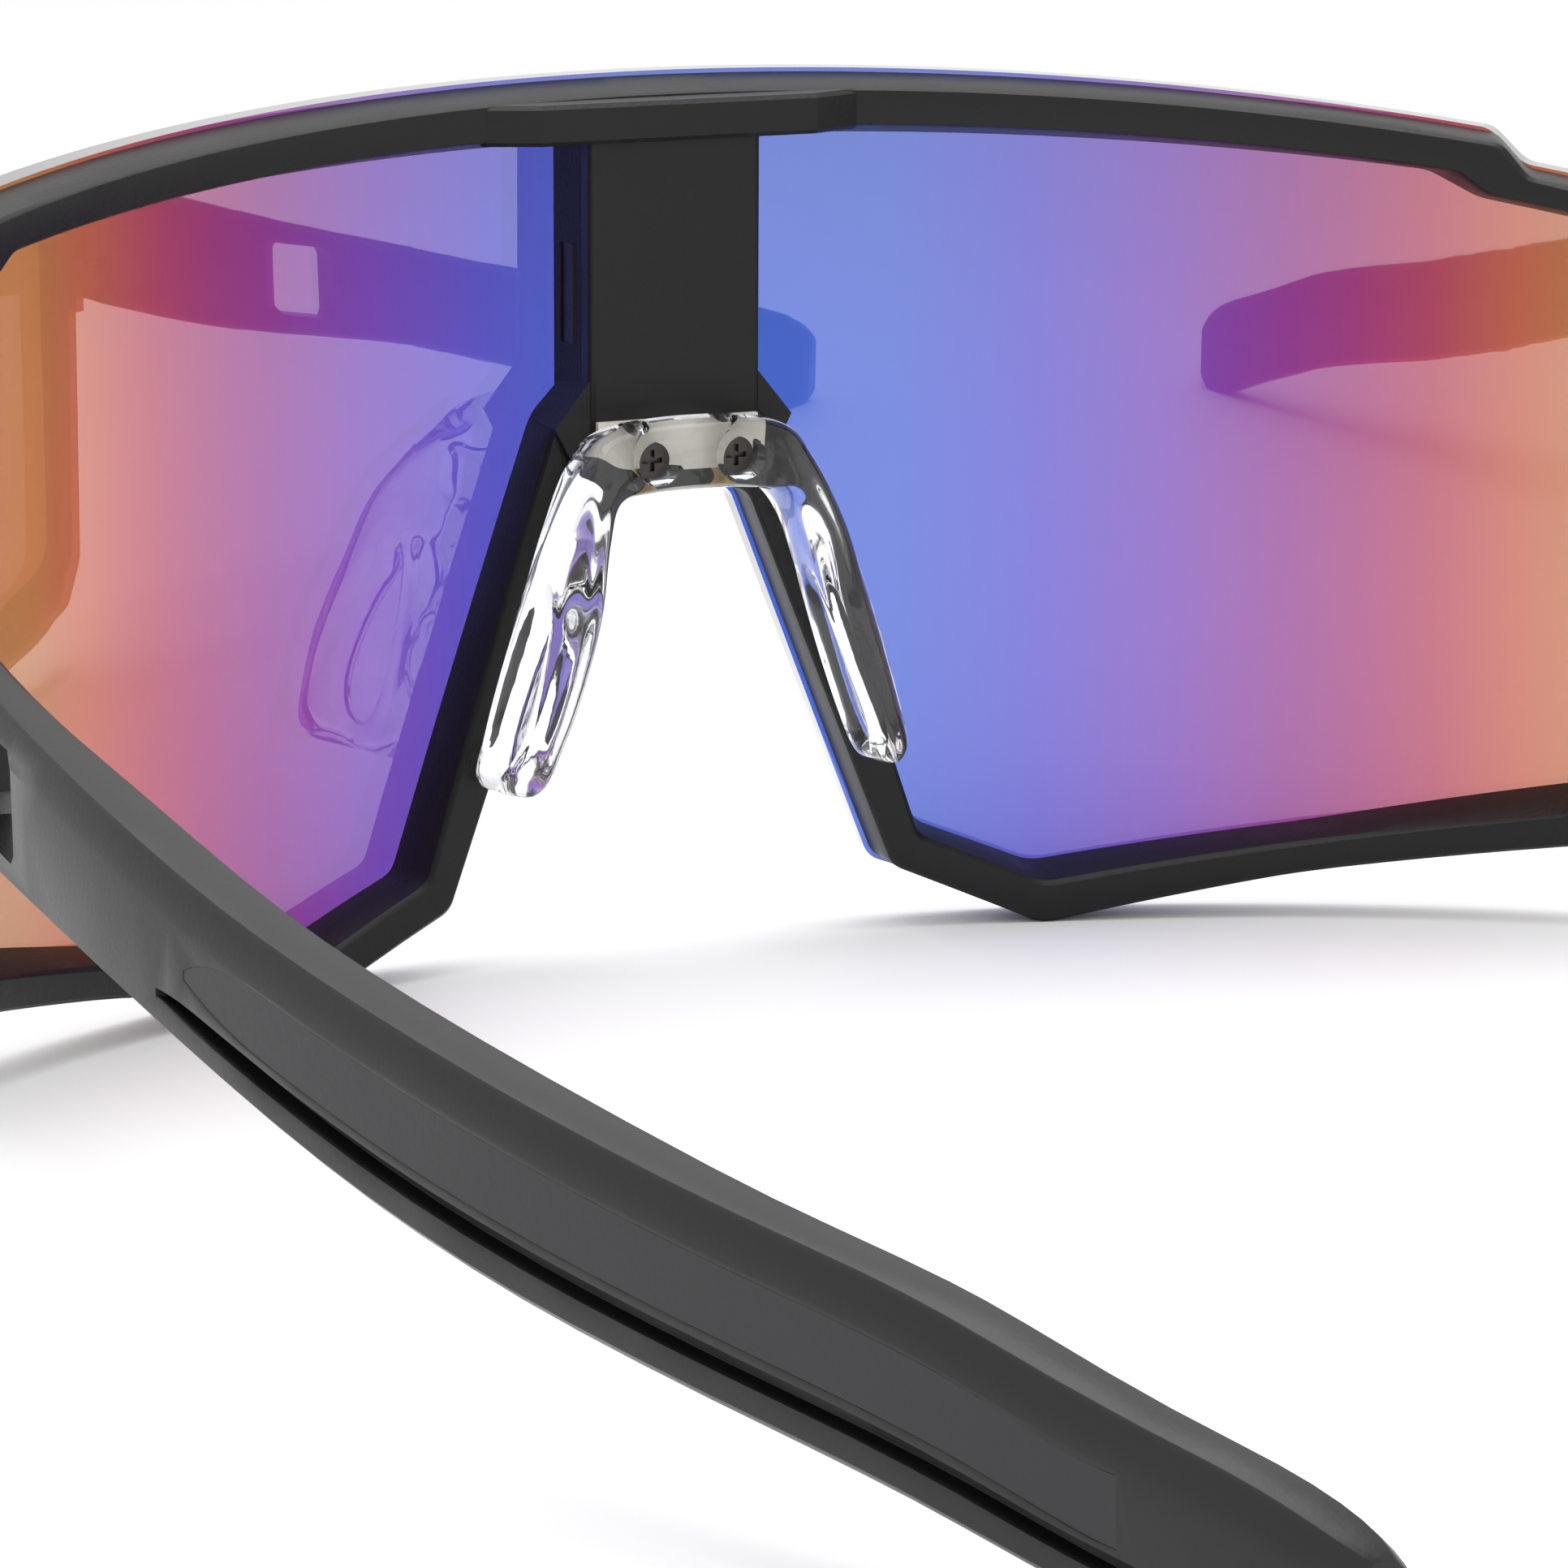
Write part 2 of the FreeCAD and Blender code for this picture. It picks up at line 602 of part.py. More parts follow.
def add_pad_screw(name, side):
    """Cross-head screw from the pad's well into the threaded insert."""
    label = "nose_pad_screw_" + name
    tip = "column_rear - insert_long + tip_clearance"
    shaft = primitive("Cylinder", label + "_shaft", side,
                      {"Radius": "screw_radius", "Height": "screw_seat - ( " + tip + " )"},
                      (PAD_X, tip, "pad_screw_height"), True)
    head = primitive("Cylinder", label + "_head", side,
                     {"Radius": "screw_head", "Height": "head_thick"},
                     (PAD_X, "screw_seat", "pad_screw_height"), True)
    arms = []
    for across, tall in (("cross_long", "cross_narrow"), ("cross_narrow", "cross_long")):
        arms.append(primitive("Box", label + "_" + across, side,
                              {"Length": across, "Width": "cross_deep", "Height": tall},
                              (PAD_X + " - " + across + " / 2",
                               "screw_seat + head_thick - cross_deep",
                               "pad_screw_height - " + tall + " / 2")))
    return difference(label, union(label + "_blank", [shaft, head]),
                      union(label + "_cross", arms), FRONT_PLACEMENT)


def add_pad_insert(name, side):
    """Threaded brass insert set into the foot of the column."""
    label = "nose_pad_insert_" + name
    place = (PAD_X, "column_rear - insert_long", "pad_screw_height")
    outer = primitive("Cylinder", label + "_outer", side,
                      {"Radius": "insert_radius", "Height": "insert_long"}, place, True)
    bore = primitive("Cylinder", label + "_bore", side,
                     {"Radius": "screw_radius + insert_slack", "Height": "insert_long"},
                     place, True)
    return difference(label, outer, bore, FRONT_PLACEMENT)


def add_pad_carrier():
    """Hard plate that backs the pad's bridge and spreads the load of its screws."""
    label = "nose_pad_carrier"
    blank = primitive("Box", label + "_blank", 1,
                            {"Length": "carrier_long", "Width": "carrier_thick",
                             "Height": "carrier_tall"},
                            ("0 - carrier_long / 2", "column_rear + carrier_gap", "carrier_low"))
    holes = []
    for name, side in SIDES:
        holes.append(primitive("Cylinder", label + "_hole_" + name, side,
                               {"Radius": "screw_radius + insert_slack",
                                "Height": "carrier_thick * 3"},
                               (PAD_X, "column_rear - carrier_thick", "pad_screw_height"), True))
    return difference(label, blank, union(label + "_holes", holes), FRONT_PLACEMENT)


def add_lens_tab(name, side):
    """Small catch in the side of the column that keeps the lens from sliding down."""
    label = "lens_tab_" + name
    wide = "( tab_sunk - tab_gap + tab_proud )"
    middle = "SIDE * ( column_half + ( tab_proud - tab_sunk + tab_gap ) / 2 )"
    blank = primitive("Box", label + "_blank", side,
                      {"Length": wide, "Width": "tab_deep - 2 * tab_gap",
                       "Height": "tab_tall - 2 * tab_gap"},
                      (middle + " - " + wide + " / 2", "tab_front + tab_gap",
                       "tab_low + tab_gap"))
    outer_edges = (5, 7) if side > 0 else (1, 3)
    bevel = size["tab_bevel"]
    made = doc.addObject("Part::Chamfer", label)
    made.Base = blank
    made.Edges = [(edge, bevel, bevel) for edge in outer_edges]
    made.Placement = FRONT_PLACEMENT
    return made


def hinge_bore(label, side):
    """Cutter for the screw's bore through a hinge."""
    return primitive("Cylinder", label + "_bore", side,
                     {"Radius": "pin_radius + pin_clearance", "Height": "bore_long"},
                     (HINGE_X, "hinge_back", "hinge_height - bore_long / 2"))


def add_frame_leaf(name, side):
    """Hinge leaf in the endpiece: a plate with two knuckles."""
    label = "hinge_frame_leaf_" + name
    members = [primitive("Box", label + "_web", side,
                         {"Length": "leaf_thick",
                          "Width": "temple_front - leaf_setback - leaf_front",
                          "Height": "2 * " + HINGE_REACH},
                         (FRAME_LEAF_X, "leaf_front", "hinge_height - " + HINGE_REACH))]
    for end, low in (("low", "hinge_height - " + HINGE_REACH),
                     ("high", "hinge_height + knuckle_inner / 2 + knuckle_gap")):
        members.append(primitive("Box", label + "_finger_" + end, side,
                                 {"Length": "leaf_thick",
                                  "Width": "hinge_back - leaf_relief - leaf_front",
                                  "Height": "knuckle_outer"},
                                 (FRAME_LEAF_X, "leaf_front", low)))
        members.append(primitive("Cylinder", label + "_knuckle_" + end, side,
                                 {"Radius": "knuckle_radius", "Height": "knuckle_outer"},
                                 (HINGE_X, "hinge_back", low)))
    return difference(label, union(label + "_blank", members), hinge_bore(label, side),
                      STILL_PLACEMENT)


def add_temple_leaf(name, side):
    """Hinge leaf on the temple: a plate with one knuckle."""
    label = "hinge_temple_leaf_" + name
    knuckle = primitive("Cylinder", label + "_knuckle", side,
                        {"Radius": "knuckle_radius", "Height": "knuckle_inner"},
                        (HINGE_X, "hinge_back", "hinge_height - knuckle_inner / 2"))
    neck = primitive("Box", label + "_neck", side,
                     {"Length": "leaf_thick", "Width": "neck_back - hinge_back + leaf_thick",
                      "Height": "knuckle_inner"},
                     (TEMPLE_LEAF_X, "hinge_back", "hinge_height - knuckle_inner / 2"))
    wide = primitive("Box", label + "_wide", side,
                     {"Length": "leaf_thick", "Width": "leaf_end - neck_back",
                      "Height": "2 * leaf_spread"},
                     (TEMPLE_LEAF_X, "neck_back", "hinge_height - leaf_drop - leaf_spread"))
    return difference(label, union(label + "_blank", [knuckle, neck, wide]),
                      hinge_bore(label, side), STILL_PLACEMENT)


def add_hinge_screw(name, side):
    """Slotted screw that pins a hinge."""
    label = "hinge_screw_" + name
    low = "hinge_height - " + HINGE_REACH
    top = "hinge_height + " + HINGE_REACH
    shaft = primitive("Cylinder", label + "_shaft", side,
                      {"Radius": "pin_radius", "Height": "2 * " + HINGE_REACH},
                      (HINGE_X, "hinge_back", low))
    head = primitive("Cylinder", label + "_head", side,
                     {"Radius": "hinge_head", "Height": "hinge_head_tall"},
                     (HINGE_X, "hinge_back", top))
    slot = primitive("Box", label + "_slot", side,
                     {"Length": "2 * hinge_head", "Width": "hinge_slot_wide",
                      "Height": "hinge_slot_deep"},
                     (HINGE_X + " - hinge_head", "hinge_back - hinge_slot_wide / 2",
                      top + " + hinge_head_tall - hinge_slot_deep"))
    return difference(label, union(label + "_blank", [shaft, head]), slot, STILL_PLACEMENT)


# ---------------------------------------------------------------- assembly
nodes = [
    feature("frame_front", frame_shape(), STILL_PLACEMENT),
    feature("shield_lens", lens_shape(), FRONT_PLACEMENT),
    feature("nose_pad", pad_shape(), FRONT_PLACEMENT),
    add_pad_carrier(),
]
inlay_shape = temple_band(depth=size["inlay_depth"], slack=size["inlay_gap"], nose=9.0,
                          **INLAY_BAND)
for name, side in SIDES:
    nodes += [
        add_pad_screw(name, side),
        add_pad_insert(name, side),
        add_lens_tab(name, side),
        feature("temple_" + name, mirrored(temple_shape(), side), STILL_PLACEMENT),
        feature("temple_inlay_" + name, mirrored(inlay_shape, side), STILL_PLACEMENT),
        add_frame_leaf(name, side),
        add_temple_leaf(name, side),
        add_hinge_screw(name, side),
    ]

doc.recompute()
for obj in doc.Objects:
    bad = [state for state in obj.State if state in ("Invalid", "Error")]
    if bad:
        raise SystemExit("%s is %s" % (obj.Label, bad))

os.makedirs("parts", exist_ok=True)
total = FreeCAD.BoundBox()
for obj in nodes:
    if obj.Shape.isNull() or not obj.Shape.isValid():
        raise SystemExit("%s has no valid shape" % obj.Label)
    obj.Shape.exportStep("parts/%s.step" % obj.Label)
    box = obj.Shape.optimalBoundingBox(False)
    total.add(box)
    print("%-26s solids %d  %8.1f mm3  Z %.2f to %.2f" % (
        obj.Label, len(obj.Shape.Solids), obj.Shape.Volume, box.ZMin, box.ZMax))
print("overall", total)
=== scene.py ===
# %% [markdown]
# # Wraparound sport sunglasses
# The glasses stand open on a white table.  A tall shield lens, mirrored from blue in the
# middle to orange at the ends, is held by a black nylon rim with a broad middle column.
# A clear silicone nose pad is screwed to the foot of that column.  The rim, lens, screws,
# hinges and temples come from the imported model; this file gives them their finishes,
# replaces the soft pieces with shaped ones, and lights and frames the scene.

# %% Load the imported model
import math
import bpy
import numpy as np
from mathutils import Matrix, Vector


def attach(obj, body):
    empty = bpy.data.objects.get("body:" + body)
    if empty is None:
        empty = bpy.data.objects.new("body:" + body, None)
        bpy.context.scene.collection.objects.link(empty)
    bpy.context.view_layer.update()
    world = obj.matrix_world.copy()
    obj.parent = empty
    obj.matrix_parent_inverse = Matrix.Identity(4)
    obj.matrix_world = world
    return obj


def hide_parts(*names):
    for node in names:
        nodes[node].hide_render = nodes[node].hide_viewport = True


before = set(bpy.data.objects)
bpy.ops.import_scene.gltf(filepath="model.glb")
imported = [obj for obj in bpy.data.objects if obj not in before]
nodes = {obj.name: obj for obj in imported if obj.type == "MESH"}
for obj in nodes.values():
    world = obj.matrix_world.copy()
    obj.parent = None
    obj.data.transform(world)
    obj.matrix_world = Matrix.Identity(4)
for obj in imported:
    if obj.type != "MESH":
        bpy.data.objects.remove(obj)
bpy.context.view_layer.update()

# %% [markdown]
# Everything in the model is in metres, while a pair of glasses is easier to think of in
# millimetres.  The front (rim, lens, nose pad) leans back a little, so its own pieces are
# shaped upright, in the millimetres of the drawing, and then leaned and moved as one.

# %% The front's own frame
MM = 0.001
LEAN = math.radians(3.25)
TIP_BACK = 10.6
APEX_TO_ORIGIN = 87.2
WRAP_RADIUS = 90.0


def front_to_world(points):
    """Millimetres in the upright front to metres in the model.

    The front turns by LEAN about the line through its lower tips:
    y' = (y - tip) cos + z sin + tip, z' = z cos - (y - tip) sin, and the origin then
    moves back from the lens apex to the middle of the footprint.
    """
    x, y, z = points[..., 0], points[..., 1] - TIP_BACK, points[..., 2]
    leaned = np.stack([x, y * math.cos(LEAN) + z * math.sin(LEAN) + TIP_BACK - APEX_TO_ORIGIN,
                       z * math.cos(LEAN) - y * math.sin(LEAN)], axis=-1)
    return leaned * MM


# %% [markdown]
# A material is easiest to read when a few small helpers make its nodes.  One helper adds a
# node and sets its inputs, another joins two sockets, and a third starts a material with a
# single Principled shader, whose constant values are set on the shader itself.

# %% Node helpers
def add(tree, kind, **values):
    """Add a node; values whose name is an input set that input, others set the property."""
    node = tree.nodes.new(kind)
    for key, value in values.items():
        name = key.replace("_", " ")
        match = [s for s in node.inputs if s.name.lower() == name.lower()]
        if match:
            match[0].default_value = value
        else:
            setattr(node, key, value)
    return node


def join(tree, start, end):
    """Link an output socket to an input socket."""
    tree.links.new(start, end)


def material(name, **values):
    """A new material with one Principled shader whose plain values are given."""
    made = bpy.data.materials.new(name)
    made.use_nodes = True
    shader = made.node_tree.nodes["Principled BSDF"]
    for key, value in values.items():
        shader.inputs[key.replace("_", " ")].default_value = value
    return made, made.node_tree, shader


def paint(finish, *names):
    """Give CAD nodes a finish in every one of their material slots."""
    for name in names:
        mesh_object = nodes[name]
        if not mesh_object.material_slots:
            mesh_object.data.materials.append(finish)
        for entry in mesh_object.material_slots:
            entry.material = finish


# %% [markdown]
# The rim and temples are moulded in black nylon.  The mould is spark-eroded, which leaves a
# fine even grain that breaks the highlight into tiny sparks.  Handling polishes the edges
# a little.  Both effects are in one node group, so that each plastic can use it with its own
# scale: the grain is a fine noise, and the polish a larger and fainter one.

# %% Shared grain
def build_grain():
    """Group: Object coordinates in; a height for the bump and a roughness out.

    Height = fine noise * amount; Roughness = base + (large noise - 0.5) * spread.
    """
    tree = bpy.data.node_groups.new("moulded_grain", "ShaderNodeTree")
    face = tree.interface
    face.new_socket("Vector", in_out="INPUT", socket_type="NodeSocketVector")
    for name, start in (("Scale", 2500.0), ("Amount", 1.0), ("Base", 0.45), ("Spread", 0.12)):
        socket = face.new_socket(name, in_out="INPUT", socket_type="NodeSocketFloat")
        socket.default_value = start
    face.new_socket("Height", in_out="OUTPUT", socket_type="NodeSocketFloat")
    face.new_socket("Roughness", in_out="OUTPUT", socket_type="NodeSocketFloat")
    source = add(tree, "NodeGroupInput")
    sink = add(tree, "NodeGroupOutput")
    fine = add(tree, "ShaderNodeTexNoise", Detail=2.0, Roughness=0.6)
    large = add(tree, "ShaderNodeTexNoise", Scale=90.0, Detail=3.0, Roughness=0.55)
    join(tree, source.outputs["Vector"], fine.inputs["Vector"])
    join(tree, source.outputs["Scale"], fine.inputs["Scale"])
    join(tree, source.outputs["Vector"], large.inputs["Vector"])
    height = add(tree, "ShaderNodeMath", operation="MULTIPLY")
    join(tree, fine.outputs["Fac"], height.inputs[0])
    join(tree, source.outputs["Amount"], height.inputs[1])
    centred = add(tree, "ShaderNodeMath", operation="SUBTRACT")
    centred.inputs[1].default_value = 0.5
    join(tree, large.outputs["Fac"], centred.inputs[0])
    rough = add(tree, "ShaderNodeMath", operation="MULTIPLY_ADD")
    join(tree, centred.outputs[0], rough.inputs[0])
    join(tree, source.outputs["Spread"], rough.inputs[1])
    join(tree, source.outputs["Base"], rough.inputs[2])
    join(tree, height.outputs[0], sink.inputs["Height"])
    join(tree, rough.outputs[0], sink.inputs["Roughness"])
    return tree


GRAIN = build_grain()


def with_grain(tree, shader, scale, base, spread, depth):
    """Drive a shader's roughness and bump from the shared grain."""
    where = add(tree, "ShaderNodeTexCoord")
    grain = add(tree, "ShaderNodeGroup", node_tree=GRAIN)
    grain.inputs["Scale"].default_value = scale
    grain.inputs["Base"].default_value = base
    grain.inputs["Spread"].default_value = spread
    bump = add(tree, "ShaderNodeBump", Strength=1.0, Distance=depth)
    join(tree, where.outputs["Object"], grain.inputs["Vector"])
    join(tree, grain.outputs["Roughness"], shader.inputs["Roughness"])
    join(tree, grain.outputs["Height"], bump.inputs["Height"])
    join(tree, bump.outputs["Normal"], shader.inputs["Normal"])


# %% Black nylon
def black_nylon(name, scale, base, depth, tone, index):
    """Moulded black nylon: grain scale, roughness, grain depth, colour and gloss index."""
    made, tree, shader = material(name, IOR=index)
    shader.inputs["Base Color"].default_value = (*tone, 1.0)
    with_grain(tree, shader, scale, base, 0.10, depth)
    return made


NYLON_GRAIN = 2600.0
rim_nylon = black_nylon("rim_black_nylon", NYLON_GRAIN, base=0.42, depth=0.00003,
                        tone=(0.004, 0.004, 0.0045), index=1.38)
temple_nylon = black_nylon("temple_black_nylon", NYLON_GRAIN, base=0.34, depth=0.000012,
                           tone=(0.006, 0.006, 0.0065), index=1.46)
paint(rim_nylon, "frame_front", "lens_tab_left", "lens_tab_right")
paint(temple_nylon, "temple_left", "temple_right")

# %% [markdown]
# The shield is clear polycarbonate under a thin interference coating.  Such a coating
# passes a colour that depends on its thickness, which changes along the wrap: blue near the
# middle, then violet, red and orange towards both ends.  The middle of the colours lies
# COLOUR_CENTRE towards the wearer's right.  The lens has a real thickness, and each of its
# faces reflects, so everything mirrored in it shows twice, slightly apart.

# %% Mirror lens
LENS_COLOURS = [
    (0.00, (0.053, 0.115, 0.510)),
    (0.14, (0.057, 0.115, 0.500)),
    (0.27, (0.092, 0.080, 0.475)),
    (0.40, (0.165, 0.056, 0.375)),
    (0.51, (0.240, 0.040, 0.240)),
    (0.58, (0.300, 0.042, 0.170)),
    (0.65, (0.370, 0.057, 0.105)),
    (0.73, (0.440, 0.110, 0.066)),
    (0.80, (0.420, 0.165, 0.064)),
    (0.92, (0.390, 0.195, 0.078)),
]
COLOUR_CENTRE = math.radians(-5.5)
LENS_ANGLE = math.radians(50.0)


def mirror_lens():
    """Clear solid whose colour follows the angle round the wrap axis from COLOUR_CENTRE."""
    made, tree, shader = material("mirror_lens", IOR=1.58, Roughness=0.0,
                                  Transmission_Weight=1.0, Coat_Weight=1.0,
                                  Coat_Roughness=0.0, Coat_IOR=1.62)
    where = add(tree, "ShaderNodeTexCoord")
    split = add(tree, "ShaderNodeSeparateXYZ")
    join(tree, where.outputs["Object"], split.inputs["Vector"])
    ahead = add(tree, "ShaderNodeMath", operation="SUBTRACT")
    ahead.inputs[0].default_value = (WRAP_RADIUS - APEX_TO_ORIGIN) * MM
    join(tree, split.outputs["Y"], ahead.inputs[1])
    angle = add(tree, "ShaderNodeMath", operation="ARCTAN2")
    join(tree, split.outputs["X"], angle.inputs[0])
    join(tree, ahead.outputs[0], angle.inputs[1])
    offset = add(tree, "ShaderNodeMath", operation="SUBTRACT")
    offset.inputs[1].default_value = COLOUR_CENTRE
    join(tree, angle.outputs[0], offset.inputs[0])
    apart = add(tree, "ShaderNodeMath", operation="ABSOLUTE")
    join(tree, offset.outputs[0], apart.inputs[0])
    share = add(tree, "ShaderNodeMath", operation="DIVIDE")
    share.inputs[1].default_value = LENS_ANGLE
    join(tree, apart.outputs[0], share.inputs[0])
    ramp = add(tree, "ShaderNodeValToRGB")
    ramp.color_ramp.interpolation = "LINEAR"
    while len(ramp.color_ramp.elements) < len(LENS_COLOURS):
        ramp.color_ramp.elements.new(0.5)
    for element, (place, colour) in zip(ramp.color_ramp.elements, LENS_COLOURS):
        element.position = place
        element.color = (*colour, 1.0)
    join(tree, share.outputs[0], ramp.inputs["Fac"])
    join(tree, ramp.outputs["Color"], shader.inputs["Base Color"])
    return made


paint(mirror_lens(), "shield_lens")

# %% [markdown]
# Metal pieces: the cross-head screws and the hinges are blackened steel, turned or stamped,
# and the inserts the screws bite into are brass.  The plate behind the pad's bridge is pale
# cream, partly its own colour and partly a painted reflection: it stands in for the bright
# patch that light caught inside the clear silicone gives the bridge.

# %% Metals
def metal(name, colour, base):
    """Bare metal with a fine turned grain."""
    made, tree, shader = material(name, Metallic=1.0)
    shader.inputs["Base Color"].default_value = (*colour, 1.0)
    with_grain(tree, shader, 4000.0, base, 0.10, 0.00002)
    return made


blackened = metal("blackened_steel", (0.07, 0.065, 0.06), 0.34)
brass = metal("turned_brass", (0.74, 0.52, 0.22), 0.28)
for side in ("left", "right"):
    paint(blackened, "nose_pad_screw_" + side, "hinge_frame_leaf_" + side,
          "hinge_temple_leaf_" + side, "hinge_screw_" + side)
    paint(brass, "nose_pad_insert_" + side)

def pale_plate_painted_reflection():
    """Pale cream plate behind the pad's bridge: partly its own colour, partly a painted reflection.
    """
    made, tree, shader = material("pale_plate_painted_reflection", IOR=1.5)
    # Painted reflection: this pale cream stands in for the bright patch seen through the pad's
    # bridge.
    shader.inputs["Base Color"].default_value = (0.78, 0.74, 0.64, 1.0)
    with_grain(tree, shader, 2200.0, 0.45, 0.08, 0.00003)
    return made


paint(pale_plate_painted_reflection(), "nose_pad_carrier")

# %% Rubber inlay
def grip_rubber():
    """Matte rubber, a little greyer than the nylon beside it."""
    made, tree, shader = material("grip_rubber", IOR=1.5)
    shader.inputs["Base Color"].default_value = (0.014, 0.014, 0.016, 1.0)
    with_grain(tree, shader, 1800.0, 0.50, 0.08, 0.00002)
    return made


paint(grip_rubber(), "temple_inlay_left", "temple_inlay_right")

# %% [markdown]
# The CAD solids arrive with sharp edges, while a moulding has edges a few tenths of a
# millimetre round that catch the light.  Their triangles are loose, so a Weld comes before
# the Bevel, which only touches edges that turn by more than a set angle.

# %% Soft edges on the mouldings
def soften(name, width, turn=28.0):
    """Weld and bevel a CAD node's sharp edges with modifiers, which leaves its mesh alone."""
    piece = nodes[name]
    weld = piece.modifiers.new("weld", "WELD")
    weld.merge_threshold = 1e-6
    bevel = piece.modifiers.new("soft edge", "BEVEL")
    bevel.width = width * MM
    bevel.segments = 2
    bevel.limit_method = "ANGLE"
    bevel.angle_limit = math.radians(turn)
    bevel.harden_normals = True
    bevel.use_clamp_overlap = True


for name in ("frame_front", "temple_left", "temple_right"):
    soften(name, 0.22)

# %% [markdown]
# The nose pad is one soft moulding: an arch over the nose with two arms that flare out and
# down.  It is drawn as a tube with four guide lines, front and rear, inner and outer, that
# run from one arm's tip over the bridge to the other.  Each ring is a rounded square spread
# between the four guides, and an eye-shaped hollow is pressed into both sides of each arm,
# which leaves a raised border and a thin web.

# %% Nose pad guides
# Rows run from an arm's tip to the middle of the bridge, as across and up for the
# front-inner, front-outer, rear-inner and rear-outer guide, and the rear guides' depth.
PAD_GUIDES = np.array([
    # front inner   front outer    rear inner     rear outer    rear depth
    (14.0, 12.95, 15.0, 13.25, 13.7, 13.65, 14.3, 13.85, 14.6),
    (12.9, 13.75, 15.9, 14.75, 12.4, 14.70, 14.7, 15.40, 15.6),
    (11.6, 16.80, 15.2, 17.80, 11.2, 17.40, 13.9, 18.10, 16.0),
    (10.2, 20.80, 14.1, 21.70, 9.7, 21.20, 12.8, 21.90, 16.1),
    (8.6, 25.80, 12.6, 26.60, 8.3, 26.00, 11.3, 26.60, 15.9),
    (6.9, 30.60, 11.0, 31.40, 7.5, 30.80, 9.9, 31.50, 15.1),
    (5.2, 33.10, 9.2, 35.60, 6.2, 33.20, 8.2, 35.70, 13.4),
    (3.4, 33.60, 6.6, 38.10, 3.8, 33.60, 6.2, 38.00, 12.4),
    (0.0, 33.70, 0.0, 38.75, 0.0, 33.70, 0.0, 38.70, 12.3),
])
PAD_FRONT = 8.2
CORNER_POWER = 3.2
# The hollow: its middle as a share of the way from a tip to the bridge, its reach above and
# below that middle, its half width, how soft its edge is, and how deep it presses in.
HOLLOW_MIDDLE = 0.30
HOLLOW_ABOVE = 0.26
HOLLOW_BELOW = 0.19
HOLLOW_WIDE = 0.62
HOLLOW_EDGE = 0.72
HOLLOW_PRESS = 0.55
# The raised border round the hollow, and the stretch over which each tip is rounded.
BORDER_PLACE = 1.18
BORDER_WIDE = 0.13
BORDER_RISE = 0.06
TIP_STRETCH = 0.035
TIP_LEAST = 0.25
ALONG = 260
ROUND = 120


def smooth_rows(rows, count):
    """Rows resampled along a Catmull-Rom curve, mirrored about the last row.

    p(t) = 0.5 (2 b + (c - a) t + (2 a - 5 b + 4 c - d) t^2 + (3 b - a - 3 c + d) t^3)
    for the four rows a, b, c, d round the span.
    """
    sign = np.ones(rows.shape[1])
    sign[0:8:2] = -1.0
    full = np.vstack([rows, (rows * sign)[-2::-1]])
    ends = np.vstack([2 * full[:1] - full[1:2], full, 2 * full[-1:] - full[-2:-1]])
    place = np.linspace(0, len(full) - 1, count)
    span = np.minimum(place.astype(int), len(full) - 2)
    t = (place - span)[:, None]
    a, b, c, d = (ends[span + k] for k in range(4))
    return 0.5 * (2 * b + (c - a) * t + (2 * a - 5 * b + 4 * c - d) * t ** 2
                  + (3 * b - a - 3 * c + d) * t ** 3)


def smoothstep(low, high, value):
    """0 below low, 1 above high, and 3 t^2 - 2 t^3 in between."""
    t = np.clip((value - low) / (high - low), 0.0, 1.0)
    return t * t * (3 - 2 * t)


def mesh_piece(name, vertices, faces, finish):
    """A smooth-shaded mesh object from arrays, linked into the scene."""
    mesh = bpy.data.meshes.new(name)
    mesh.from_pydata(vertices.reshape(-1, 3), [], faces)
    mesh.materials.append(finish)
    mesh.shade_smooth()
    piece = bpy.data.objects.new(name, mesh)
    bpy.context.scene.collection.objects.link(piece)
    return piece


def tube_faces(rings, around):
    """Quads between rings of a closed tube, and one face over each end."""
    ring, step = np.meshgrid(np.arange(rings - 1), np.arange(around), indexing="ij")
    here = ring * around + step
    beside = ring * around + (step + 1) % around
    quads = np.stack([here, here + around, beside + around, beside], axis=-1)
    caps = [list(range(around)), list(range(rings * around - 1, (rings - 1) * around - 1, -1))]
    return quads.reshape(-1, 4).tolist() + caps


